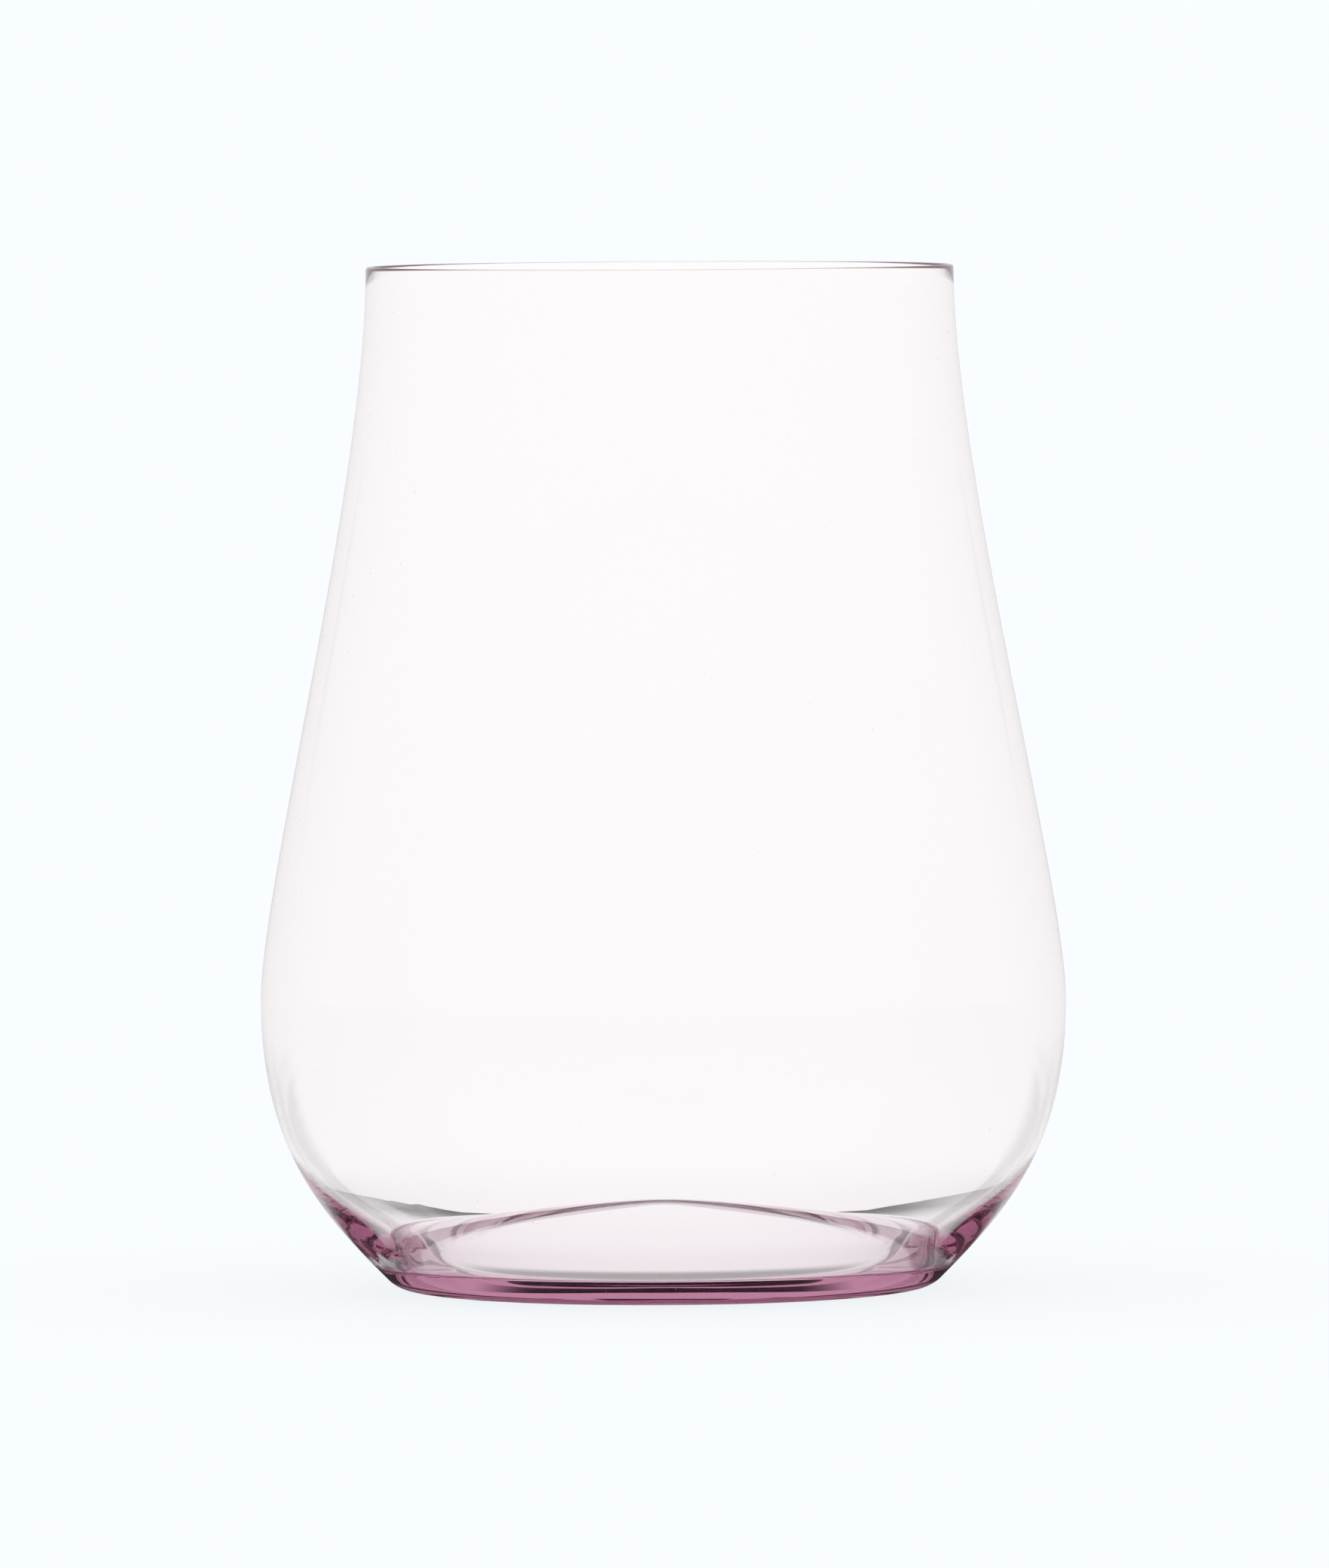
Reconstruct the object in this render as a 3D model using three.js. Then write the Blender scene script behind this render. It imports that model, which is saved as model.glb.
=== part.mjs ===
// Stemless drinking glass: a tear-drop tumbler blown in one piece of pale pink glass.
// Millimetres, +Z up, origin on the table under the centre of the standing ring.
import * as THREE from 'three';

// Outside of the glass
const HEIGHT = 118;
const RIM_DIAMETER = 67.8;
const BELLY_DIAMETER = 93;
const BELLY_HEIGHT = 33.2;
const RING_DIAMETER = 58.5;
const HEEL_RADIUS = 3.9;
const HEEL_SLOPE = THREE.MathUtils.degToRad(45.3);

// Lengths of the curve handles that shape the neck, the shoulder and the lower bowl
const NECK_PULL = 23.8;
const SHOULDER_PULL = 13.1;
const BELLY_PULL = 17.5;
const HEEL_PULL = 9.9;

// Wall of the glass, from the drinking rim down to the pushed-up floor
const RIM_WALL = 0.8;
const BELLY_WALL = 0.95;
const TROUGH_WALL = 3.4;
const FLOOR_WALL = 1.2;

// Inside of the base: the wall thins below the belly, because its handle there is a little longer
// than the outer one, then thickens towards a narrow rounded trough, which climbs to a dome
const BOWL_THINNING = 1.5;
const CORNER_SLOPE = THREE.MathUtils.degToRad(46);
const CORNER_PULL = 8.5;
const TROUGH_OUTSET = 2.75;
const TROUGH_RADIUS = 0.8;
const DOME_SLOPE = THREE.MathUtils.degToRad(13);
const DOME_FOOT_PULL = 10;
const DOME_PULL = 8;

// Underside: a flat standing ring round the punt, which is steeper than the dome above it
const RING_WIDTH = 2.85;
const PUNT_DEPTH = 7.8;
const PUNT_SLOPE = THREE.MathUtils.degToRad(30);
const PUNT_FOOT_PULL = 6;
const PUNT_PULL = 6;

// Facets
const TURN_STEPS = 64;
const WALL_STEPS = 12;
const BOWL_STEPS = 9;
const FLOOR_STEPS = 8;
const RIM_STEPS = 6;
const HEEL_STEPS = 4;
const TROUGH_STEPS = 5;
const SAME_SPOT = 1e-6;

const point = (radius, height) => new THREE.Vector2(radius, height);

// A cubic curve from one profile point to the next, shaped by a handle at each end.
function sweep(start, startHandle, endHandle, end, steps) {
  const control = [start, start.clone().add(startHandle), end.clone().add(endHandle), end];
  return new THREE.CubicBezierCurve(...control).getPoints(steps);
}

// A circular arc in the profile, from one angle round to another.
function arc(centre, radius, from, to, steps) {
  return new THREE.ArcCurve(centre.x, centre.y, radius, from, to, to < from).getPoints(steps);
}

// A handle of a given length at an angle above the horizontal, pointing away from the axis.
const handle = (length, angle) => point(length * Math.cos(angle), length * Math.sin(angle));

// The outside, from the standing ring up to the rim.
function outerWall() {
  const ringRadius = RING_DIAMETER / 2;
  const bellyRadius = BELLY_DIAMETER / 2;
  const heel = arc(point(ringRadius, HEEL_RADIUS), HEEL_RADIUS,
    -Math.PI / 2, HEEL_SLOPE - Math.PI / 2, HEEL_STEPS);
  const belly = point(bellyRadius, BELLY_HEIGHT);
  const rimEdge = point(RIM_DIAMETER / 2, HEIGHT - RIM_WALL / 2);
  const bowl = sweep(heel[HEEL_STEPS], handle(HEEL_PULL, HEEL_SLOPE), point(0, -BELLY_PULL), belly,
    BOWL_STEPS);
  const neck = sweep(belly, point(0, SHOULDER_PULL), point(0, -NECK_PULL), rimEdge, WALL_STEPS);
  return [...heel, ...bowl, ...neck];
}

// The fire-polished rim, a half round as thick as the wall.
function roundRim() {
  const middle = point((RIM_DIAMETER - RIM_WALL) / 2, HEIGHT - RIM_WALL / 2);
  return arc(middle, RIM_WALL / 2, 0, Math.PI, RIM_STEPS);
}

// The inside, from the rim down the wall, through the trough and over the dome to the axis.
function innerWall() {
  const rimEdge = point(RIM_DIAMETER / 2 - RIM_WALL, HEIGHT - RIM_WALL / 2);
  const belly = point(BELLY_DIAMETER / 2 - BELLY_WALL, BELLY_HEIGHT);
  const troughCentre = point(RING_DIAMETER / 2 + TROUGH_OUTSET, TROUGH_WALL + TROUGH_RADIUS);
  const trough = arc(troughCentre, TROUGH_RADIUS,
    CORNER_SLOPE - Math.PI / 2, -DOME_SLOPE - Math.PI / 2, TROUGH_STEPS);
  const domeTop = point(0, PUNT_DEPTH + FLOOR_WALL);
  const neck = sweep(rimEdge, point(0, -NECK_PULL), point(0, SHOULDER_PULL), belly, WALL_STEPS);
  const bowl = sweep(belly, point(0, -BELLY_PULL - BOWL_THINNING), handle(CORNER_PULL, CORNER_SLOPE),
    trough[0], BOWL_STEPS);
  const dome = sweep(trough[TROUGH_STEPS], handle(-DOME_FOOT_PULL, -DOME_SLOPE), point(DOME_PULL, 0),
    domeTop, FLOOR_STEPS);
  return [...neck, ...bowl, ...trough, ...dome];
}

// The underside, from the top of the punt out to the flat standing ring.
function underside() {
  const puntTop = point(0, PUNT_DEPTH);
  const ringEdge = point(RING_DIAMETER / 2 - RING_WIDTH, 0);
  return sweep(puntTop, point(PUNT_PULL, 0), handle(-PUNT_FOOT_PULL, -PUNT_SLOPE), ringEdge,
    FLOOR_STEPS);
}

// One closed outline from axis to axis, with the points where two stretches meet kept once.
function profile() {
  const outline = [...underside(), ...outerWall(), ...roundRim(), ...innerWall()];
  const apart = (spot, index) => index === 0 || spot.distanceTo(outline[index - 1]) > SAME_SPOT;
  return outline.filter(apart);
}

function tumbler() {
  const geometry = new THREE.LatheGeometry(profile(), TURN_STEPS);
  geometry.rotateX(Math.PI / 2);
  const glass = new THREE.MeshStandardMaterial({ color: 0xf3dfec, roughness: 0.03, metalness: 0 });
  const mesh = new THREE.Mesh(geometry, glass);
  mesh.name = 'tumbler';
  return mesh;
}

const waterGlass = new THREE.Group();
waterGlass.add(tumbler());

export default waterGlass;
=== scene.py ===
import math

import bmesh
import bpy
from mathutils import Matrix, Vector, noise
from mathutils.geometry import interpolate_bezier


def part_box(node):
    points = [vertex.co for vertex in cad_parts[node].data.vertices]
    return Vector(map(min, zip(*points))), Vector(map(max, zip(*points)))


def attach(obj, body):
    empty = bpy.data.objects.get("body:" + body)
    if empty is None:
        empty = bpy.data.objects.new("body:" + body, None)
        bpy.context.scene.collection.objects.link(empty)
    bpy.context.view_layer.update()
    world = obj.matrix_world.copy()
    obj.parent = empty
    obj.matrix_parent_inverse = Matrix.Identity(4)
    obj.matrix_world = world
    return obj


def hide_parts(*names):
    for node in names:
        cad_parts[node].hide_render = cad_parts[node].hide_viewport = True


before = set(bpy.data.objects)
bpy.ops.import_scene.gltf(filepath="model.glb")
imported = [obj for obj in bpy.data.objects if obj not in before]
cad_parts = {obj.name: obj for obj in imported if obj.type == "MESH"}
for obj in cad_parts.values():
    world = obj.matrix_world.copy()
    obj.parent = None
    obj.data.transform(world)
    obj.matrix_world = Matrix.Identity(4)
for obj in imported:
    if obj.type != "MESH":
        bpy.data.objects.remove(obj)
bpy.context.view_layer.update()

# Tumbler
# One wall of pale pink glass, blown and turned in one go, with a fire-polished rim and a thick heel.
# The floor is pushed up from below while hot, which leaves a trough inside and a punt underneath.
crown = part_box("tumbler")[1]

# Outside, from the standing ring up to the rim
belly_radius = crown.x
rim_radius = 0.0339
belly_height = 0.0332
ring_radius = 0.02925
heel_round = 0.0039
heel_slope = math.radians(45.3)
neck_pull = 0.0238
shoulder_pull = 0.0131
belly_pull = 0.0175
heel_pull = 0.0099

# Wall, from the rim down to the trough and the dome
rim_wall = 0.0008
belly_wall = 0.00095
trough_wall = 0.0034
floor_wall = 0.0012
bowl_thinning = 0.0015
corner_slope = math.radians(46)
corner_pull = 0.0085
trough_outset = 0.00275
trough_round = 0.0008
dome_slope = math.radians(13)
dome_foot_pull = 0.010
dome_pull = 0.008

# Underside
ring_width = 0.00285
punt_depth = 0.0078
punt_slope = math.radians(30)
punt_foot_pull = 0.006
punt_pull = 0.006

# Facets
profile_steps = 37
round_steps = 17
turn_steps = 320
same_spot = 1e-7

# Waves of the hot glass in the inner corner, stronger on the left, and fine rings turned on the heel
wave_top = 0.0085
wave_fade = 0.0030
wave_length = 0.004
wave_left = 0.00003
wave_right = 0.000008
ripple_length = wave_length / 2
ripple_share = 0.5
side_start = 0.70
side_full = 0.85
mark_depth = 0.000004
mark_length = 0.0009
mark_start = 0.0006
mark_patch = 0.014
mark_share = 0.6
mark_spread = 0.8


def at(radius, height):
    return Vector((radius, 0, height))


def pull(length, angle):
    return at(length * math.cos(angle), length * math.sin(angle))


def curve(start, start_pull, end_pull, end):
    return interpolate_bezier(start, start + start_pull, end + end_pull, end, profile_steps)


def arc(centre, radius, first, last):
    turns = [first + (last - first) * step / (round_steps - 1) for step in range(round_steps)]
    return [centre + pull(radius, turn) for turn in turns]


def ease(value, low, high):
    share = min(1, max(0, (value - low) / (high - low)))
    return share * share * (3 - 2 * share)


down = -math.pi / 2
rim_height = crown.z - rim_wall / 2
heel = arc(at(ring_radius, heel_round), heel_round, down, down + heel_slope)
belly = at(belly_radius, belly_height)
bowl = curve(heel[-1], pull(heel_pull, heel_slope), at(0, -belly_pull), belly)
neck = curve(belly, at(0, shoulder_pull), at(0, -neck_pull), at(rim_radius, rim_height))
rim = arc(at(rim_radius - rim_wall / 2, rim_height), rim_wall / 2, 0, math.pi)

inner_belly = at(belly_radius - belly_wall, belly_height)
inner_neck = curve(rim[-1], at(0, -neck_pull), at(0, shoulder_pull), inner_belly)
trough_centre = at(ring_radius + trough_outset, trough_wall + trough_round)
trough = arc(trough_centre, trough_round, down + corner_slope, down - dome_slope)
inner_belly_pull = at(0, -belly_pull - bowl_thinning)
inner_bowl = curve(inner_belly, inner_belly_pull, pull(corner_pull, corner_slope), trough[0])
dome_top = at(0, punt_depth + floor_wall)
dome = curve(trough[-1], pull(-dome_foot_pull, -dome_slope), at(dome_pull, 0), dome_top)

ring_edge = at(ring_radius - ring_width, 0)
punt = curve(at(0, punt_depth), at(punt_pull, 0), pull(-punt_foot_pull, -punt_slope), ring_edge)

outline = [*punt, *heel, *bowl, *neck, *rim, *inner_neck, *inner_bowl, *trough, *dome]
shell = bmesh.new()
layers = shell.verts.layers.float
for name in ("waves", "marks"):
    layers.new(name)
waves = layers["waves"]
marks = layers["marks"]
knots = [shell.verts.new(spot) for spot in outline]
for knot in knots[-len(dome) - len(trough) - len(inner_bowl):-len(dome)]:
    knot[waves] = ease(knot.co.z, wave_top, wave_top - wave_fade)
for knot in knots[len(punt):len(punt) + len(heel)]:
    way_up = heel_round * math.acos(1 - knot.co.z / heel_round)
    knot[marks] = math.sin(math.tau * way_up / mark_length) * min(1, knot.co.z / mark_start)
for knot, next_knot in zip(knots, knots[1:]):
    shell.edges.new((knot, next_knot))
bmesh.ops.remove_doubles(shell, verts=shell.verts, dist=same_spot)
bmesh.ops.spin(
    shell, geom=shell.verts[:] + shell.edges[:], cent=(0, 0, 0), axis=(0, 0, 1),
    angle=math.tau, steps=turn_steps, use_merge=True,
)
bmesh.ops.remove_doubles(shell, verts=shell.verts, dist=same_spot)
bmesh.ops.recalc_face_normals(shell, faces=shell.faces)
shell.normal_update()
for vert in shell.verts:
    spot = vert.co.copy()
    if vert[waves] > 0:
        sideways = spot.x / math.hypot(spot.x, spot.y)
        height = wave_left if sideways < 0 else wave_right
        wave = noise.noise(spot / wave_length) + ripple_share * noise.noise(spot / ripple_length)
        vert.co += vert.normal * height * wave * vert[waves] * ease(abs(sideways), side_start, side_full)
    if vert[marks] != 0:
        patch = mark_share + mark_spread * noise.noise(spot / mark_patch)
        vert.co += vert.normal * mark_depth * vert[marks] * patch
for face in shell.faces:
    face.smooth = True
for name in ("waves", "marks"):
    layers.remove(layers[name])

tumbler_mesh = bpy.data.meshes.new("tumbler_glass")
shell.to_mesh(tumbler_mesh)
shell.free()
tumbler = bpy.data.objects.new("tumbler_glass", tumbler_mesh)
bpy.context.collection.objects.link(tumbler)

# Clear glass, tinted through its thickness, with a few specks of dust in a polished skin
skin_colour = (1, 1, 1, 1)
glass_index = 1.5
body_colour = (0.785, 0.50, 0.65, 1)
body_depth = 46
dust_apart = 250
dust_edge = 0.035
dust_heart = 0.020
dust_rough = 0.35

pink_glass = bpy.data.materials.new("pink_glass")
pink_glass.use_nodes = True
glass_nodes = pink_glass.node_tree.nodes
glass_links = pink_glass.node_tree.links
glass_skin = glass_nodes["Principled BSDF"]
glass_skin.inputs["Base Color"].default_value = skin_colour
glass_skin.inputs["IOR"].default_value = glass_index
glass_skin.inputs["Transmission Weight"].default_value = 1
glass_body = glass_nodes.new("ShaderNodeVolumeAbsorption")
glass_body.inputs["Color"].default_value = body_colour
glass_body.inputs["Density"].default_value = body_depth
glass_links.new(glass_body.outputs["Volume"], glass_nodes["Material Output"].inputs["Volume"])
dust = glass_nodes.new("ShaderNodeTexVoronoi")
dust.inputs["Scale"].default_value = dust_apart
glass_links.new(glass_nodes.new("ShaderNodeTexCoord").outputs["Object"], dust.inputs["Vector"])
specks = glass_nodes.new("ShaderNodeMapRange")
specks.inputs["From Min"].default_value = dust_heart
specks.inputs["From Max"].default_value = dust_edge
specks.inputs["To Min"].default_value = dust_rough
specks.inputs["To Max"].default_value = 0
glass_links.new(dust.outputs["Distance"], specks.inputs["Value"])
glass_links.new(specks.outputs["Result"], glass_skin.inputs["Roughness"])
tumbler_mesh.materials.append(pink_glass)

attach(tumbler, "root")
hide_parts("tumbler")

# Table top
# A plain sheet of pale paper that the glass stands on, evenly white from a hand's breadth away.
# Round the foot, what the glass bends or mirrors of it is a painted shadow, dim or dark, as little light
# gets in.
paper_white = (0.947, 0.982, 1, 1)
clear_white = (1, 0.995, 1, 1)
table_radius = 4
table_drop = 0.0002
table_sides = 96
fade_start = 0.045
fade_end = 0.16
fade_least = 0.85

# Painted shadow: a dim crescent under the front of the foot
front_centre = (0, 0.010, 0)
front_start = 0.0310
front_full = 0.0335
front_light = 0.3
dark_end = 0.0335
light_edge = 0.036

# Painted shadow behind the foot, which shows only to a flat line of sight
shade_start = 0.025
shade_full = 0.049
shade_end = 0.050
shade_light = 0.05
shade_near = 0.062
shade_far = 0.072
steep_sight = 0.72
flat_sight = 0.86

# Painted shade on the paper under the bowl, and dimmer paper beyond it, as mirrored by the outside of
# the glass
under_edge = 0.045
under_end = 0.065
under_light = 0.05
mirror_light = 0.78

sheet = bmesh.new()
bmesh.ops.create_circle(sheet, cap_ends=True, segments=table_sides, radius=table_radius)
bmesh.ops.translate(sheet, verts=sheet.verts, vec=(0, 0, -table_drop))
table_mesh = bpy.data.meshes.new("table_top")
sheet.to_mesh(table_mesh)
sheet.free()
table = bpy.data.objects.new("table_top", table_mesh)
bpy.context.collection.objects.link(table)


def ramp(tree, value, low, high, from_light, to_light):
    """A soft step of light from one place to the next."""
    step = tree.nodes.new("ShaderNodeMapRange")
    step.interpolation_type = "SMOOTHSTEP"
    step.inputs["From Min"].default_value = low
    step.inputs["From Max"].default_value = high
    step.inputs["To Min"].default_value = from_light
    step.inputs["To Max"].default_value = to_light
    tree.links.new(value, step.inputs["Value"])
    return step.outputs["Result"]


def reckon(tree, operation, first, second):
    """One sum on two values."""
    node = tree.nodes.new("ShaderNodeMath")
    node.operation = operation
    tree.links.new(first, node.inputs[0])
    tree.links.new(second, node.inputs[1])
    return node.outputs["Value"]


def brightest(tree, *lights):
    """The strongest of two or more lights."""
    strongest = lights[0]
    for light in lights[1:]:
        strongest = reckon(tree, "MAXIMUM", strongest, light)
    return strongest


def pick(tree, chosen, plain, other):
    """The other value for the chosen rays and the plain one for the rest."""
    node = tree.nodes.new("ShaderNodeMix")
    tree.links.new(chosen, node.inputs["Factor"])
    tree.links.new(plain, node.inputs["A"])
    tree.links.new(other, node.inputs["B"])
    return node.outputs["Result"]


table_paper = bpy.data.materials.new("table_paper")
table_paper.use_nodes = True
paper_tree = table_paper.node_tree
paper_tree.nodes.remove(paper_tree.nodes["Principled BSDF"])
paper_rays = paper_tree.nodes.new("ShaderNodeLightPath").outputs
place = paper_tree.nodes.new("ShaderNodeTexCoord").outputs["Object"]
reach = paper_tree.nodes.new("ShaderNodeVectorMath")
reach.operation = "LENGTH"
paper_tree.links.new(place, reach.inputs[0])
from_axis = reach.outputs["Value"]
front_reach = paper_tree.nodes.new("ShaderNodeVectorMath")
front_reach.operation = "DISTANCE"
front_reach.inputs[1].default_value = front_centre
paper_tree.links.new(place, front_reach.inputs[0])
from_front = front_reach.outputs["Value"]
split = paper_tree.nodes.new("ShaderNodeSeparateXYZ")
paper_tree.links.new(place, split.inputs["Vector"])
back_way = split.outputs["Y"]
slant = paper_tree.nodes.new("ShaderNodeLayerWeight").outputs["Facing"]

# Painted shadows round the foot, which only the glass bends or mirrors
front_dark = ramp(paper_tree, from_front, front_start, front_full, 1, front_light)
surround = ramp(paper_tree, from_axis, dark_end, light_edge, 0, 1)
foot_dark = brightest(paper_tree, front_dark, surround)
# Painted shadow strip behind the foot, only near the glass and at a flat line of sight
shade = ramp(paper_tree, back_way, shade_start, shade_full, 1, shade_light)
past_shade = ramp(paper_tree, back_way, shade_full, shade_end, 0, 1)
past_foot = ramp(paper_tree, from_axis, shade_near, shade_far, 0, 1)
steep = ramp(paper_tree, slant, steep_sight, flat_sight, 1, 0)
back_shade = brightest(paper_tree, shade, past_shade, steep, past_foot)
through_glass = reckon(paper_tree, "MULTIPLY", foot_dark, back_shade)
# Painted shade under the bowl, seen in the mirror of the glass's outside
painted_bowl_shade = ramp(paper_tree, from_axis, under_edge, under_end, under_light, mirror_light)
seen_light = pick(paper_tree, paper_rays["Is Transmission Ray"], painted_bowl_shade, through_glass)

lit_paper = paper_tree.nodes.new("ShaderNodeBsdfDiffuse")
lit_paper.inputs["Color"].default_value = paper_white
white_paper = paper_tree.nodes.new("ShaderNodeEmission")
white_paper.inputs["Color"].default_value = paper_white
far_paper = paper_tree.nodes.new("ShaderNodeMixShader")
far_share = ramp(paper_tree, from_axis, fade_start, fade_end, fade_least, 1)
paper_tree.links.new(far_share, far_paper.inputs["Fac"])
paper_tree.links.new(lit_paper.outputs["BSDF"], far_paper.inputs[1])
paper_tree.links.new(white_paper.outputs["Emission"], far_paper.inputs[2])

seen_paper = paper_tree.nodes.new("ShaderNodeEmission")
seen_paper.inputs["Color"].default_value = clear_white
paper_tree.links.new(seen_light, seen_paper.inputs["Strength"])
any_paper = paper_tree.nodes.new("ShaderNodeMixShader")
clear_rays = brightest(paper_tree, paper_rays["Is Transmission Ray"], paper_rays["Is Glossy Ray"])
paper_tree.links.new(clear_rays, any_paper.inputs["Fac"])
paper_tree.links.new(far_paper.outputs["Shader"], any_paper.inputs[1])
paper_tree.links.new(seen_paper.outputs["Emission"], any_paper.inputs[2])
paper_out = paper_tree.nodes["Material Output"]
paper_tree.links.new(any_paper.outputs["Shader"], paper_out.inputs["Surface"])
table_mesh.materials.append(table_paper)

# Studio light
# White paper hung all round and overhead, a little dimmer at the sides, that lights the glass evenly.
# A black slat lies low behind the glass, and the heel bends it into the dark line in the foot.
back_full = 0.85
side_edge = 0.5
side_light = 0.9
camera_side_full = -0.3
camera_side_light = 0.97
top_start = 0.55
top_full = 0.85
slat_bottom = 0.05
slat_low = 0.07
slat_high = 0.24
slat_top = 0.28
slat_light = 0
slat_start = 0.81
slat_full = 0.93
mirror_start = 0.3
mirror_full = 0.8

studio = bpy.data.worlds.new("studio_room")
bpy.context.scene.world = studio
studio.use_nodes = True
room_tree = studio.node_tree
room_rays = room_tree.nodes.new("ShaderNodeLightPath").outputs
room_place = room_tree.nodes.new("ShaderNodeTexCoord").outputs["Generated"]
aim = room_tree.nodes.new("ShaderNodeSeparateXYZ")
room_tree.links.new(room_place, aim.inputs["Vector"])
upward = aim.outputs["Z"]
level_aim = room_tree.nodes.new("ShaderNodeVectorMath")
level_aim.operation = "MULTIPLY"
level_aim.inputs[1].default_value = (1, 1, 0)
room_tree.links.new(room_place, level_aim.inputs[0])
level_reach = room_tree.nodes.new("ShaderNodeVectorMath")
level_reach.operation = "LENGTH"
room_tree.links.new(level_aim.outputs["Vector"], level_reach.inputs[0])
backward = reckon(room_tree, "DIVIDE", aim.outputs["Y"], level_reach.outputs["Value"])

behind = ramp(room_tree, backward, side_edge, back_full, side_light, 1)
beside = ramp(room_tree, backward, camera_side_full, side_edge, camera_side_light, 0)
overhead = ramp(room_tree, upward, top_start, top_full, 0, 1)
all_round = brightest(room_tree, behind, beside, overhead)
below_slat = ramp(room_tree, upward, slat_bottom, slat_low, 1, slat_light)
above_slat = ramp(room_tree, upward, slat_high, slat_top, 0, 1)
past_slat = ramp(room_tree, backward, slat_start, slat_full, 1, 0)
slat = brightest(room_tree, below_slat, above_slat, past_slat)
entered_room = reckon(room_tree, "MULTIPLY", all_round, slat)
mirrored_round = ramp(room_tree, backward, mirror_start, mirror_full, 1, mirror_light)
mirrored = brightest(room_tree, mirrored_round, overhead)
seen_room = pick(room_tree, room_rays["Is Transmission Ray"], mirrored, entered_room)

room = room_tree.nodes["Background"]
room_colour = room_tree.nodes.new("ShaderNodeMix")
room_colour.data_type = "RGBA"
room_colour.inputs["A"].default_value = clear_white
room_colour.inputs["B"].default_value = paper_white
room_tree.links.new(room_rays["Is Camera Ray"], room_colour.inputs["Factor"])
room_tree.links.new(room_colour.outputs["Result"], room.inputs["Color"])
room_light = brightest(room_tree, room_rays["Is Camera Ray"], room_rays["Is Diffuse Ray"], seen_room)
room_tree.links.new(room_light, room.inputs["Strength"])

# Camera
# A long lens two metres away and a little above the rim, as the photograph was taken.
# Its picture keeps plain colours, and light may cross the glass as often as the thick heel needs.
camera_place = Vector((0.00026, -2.020, 0.1466))
camera_aim = Vector((0.00026, 0, 0.05815))
frame_height = 0.18103
film_height = 36
lean = math.radians(-0.3)
glass_bounces = 200

camera_data = bpy.data.cameras.new("camera")
camera = bpy.data.objects.new("camera", camera_data)
bpy.context.collection.objects.link(camera)
sight = camera_aim - camera_place
camera_data.sensor_width = film_height
camera_data.lens = film_height * sight.length / frame_height
camera.location = camera_place
upright = sight.to_track_quat("-Z", "Y").to_matrix()
camera.rotation_euler = (upright @ Matrix.Rotation(lean, 3, "Z")).to_euler()
bpy.context.scene.camera = camera

bpy.context.scene.view_settings.view_transform = "Standard"
bpy.context.scene.cycles.max_bounces = glass_bounces
bpy.context.scene.cycles.transmission_bounces = glass_bounces
bpy.context.scene.cycles.glossy_bounces = glass_bounces
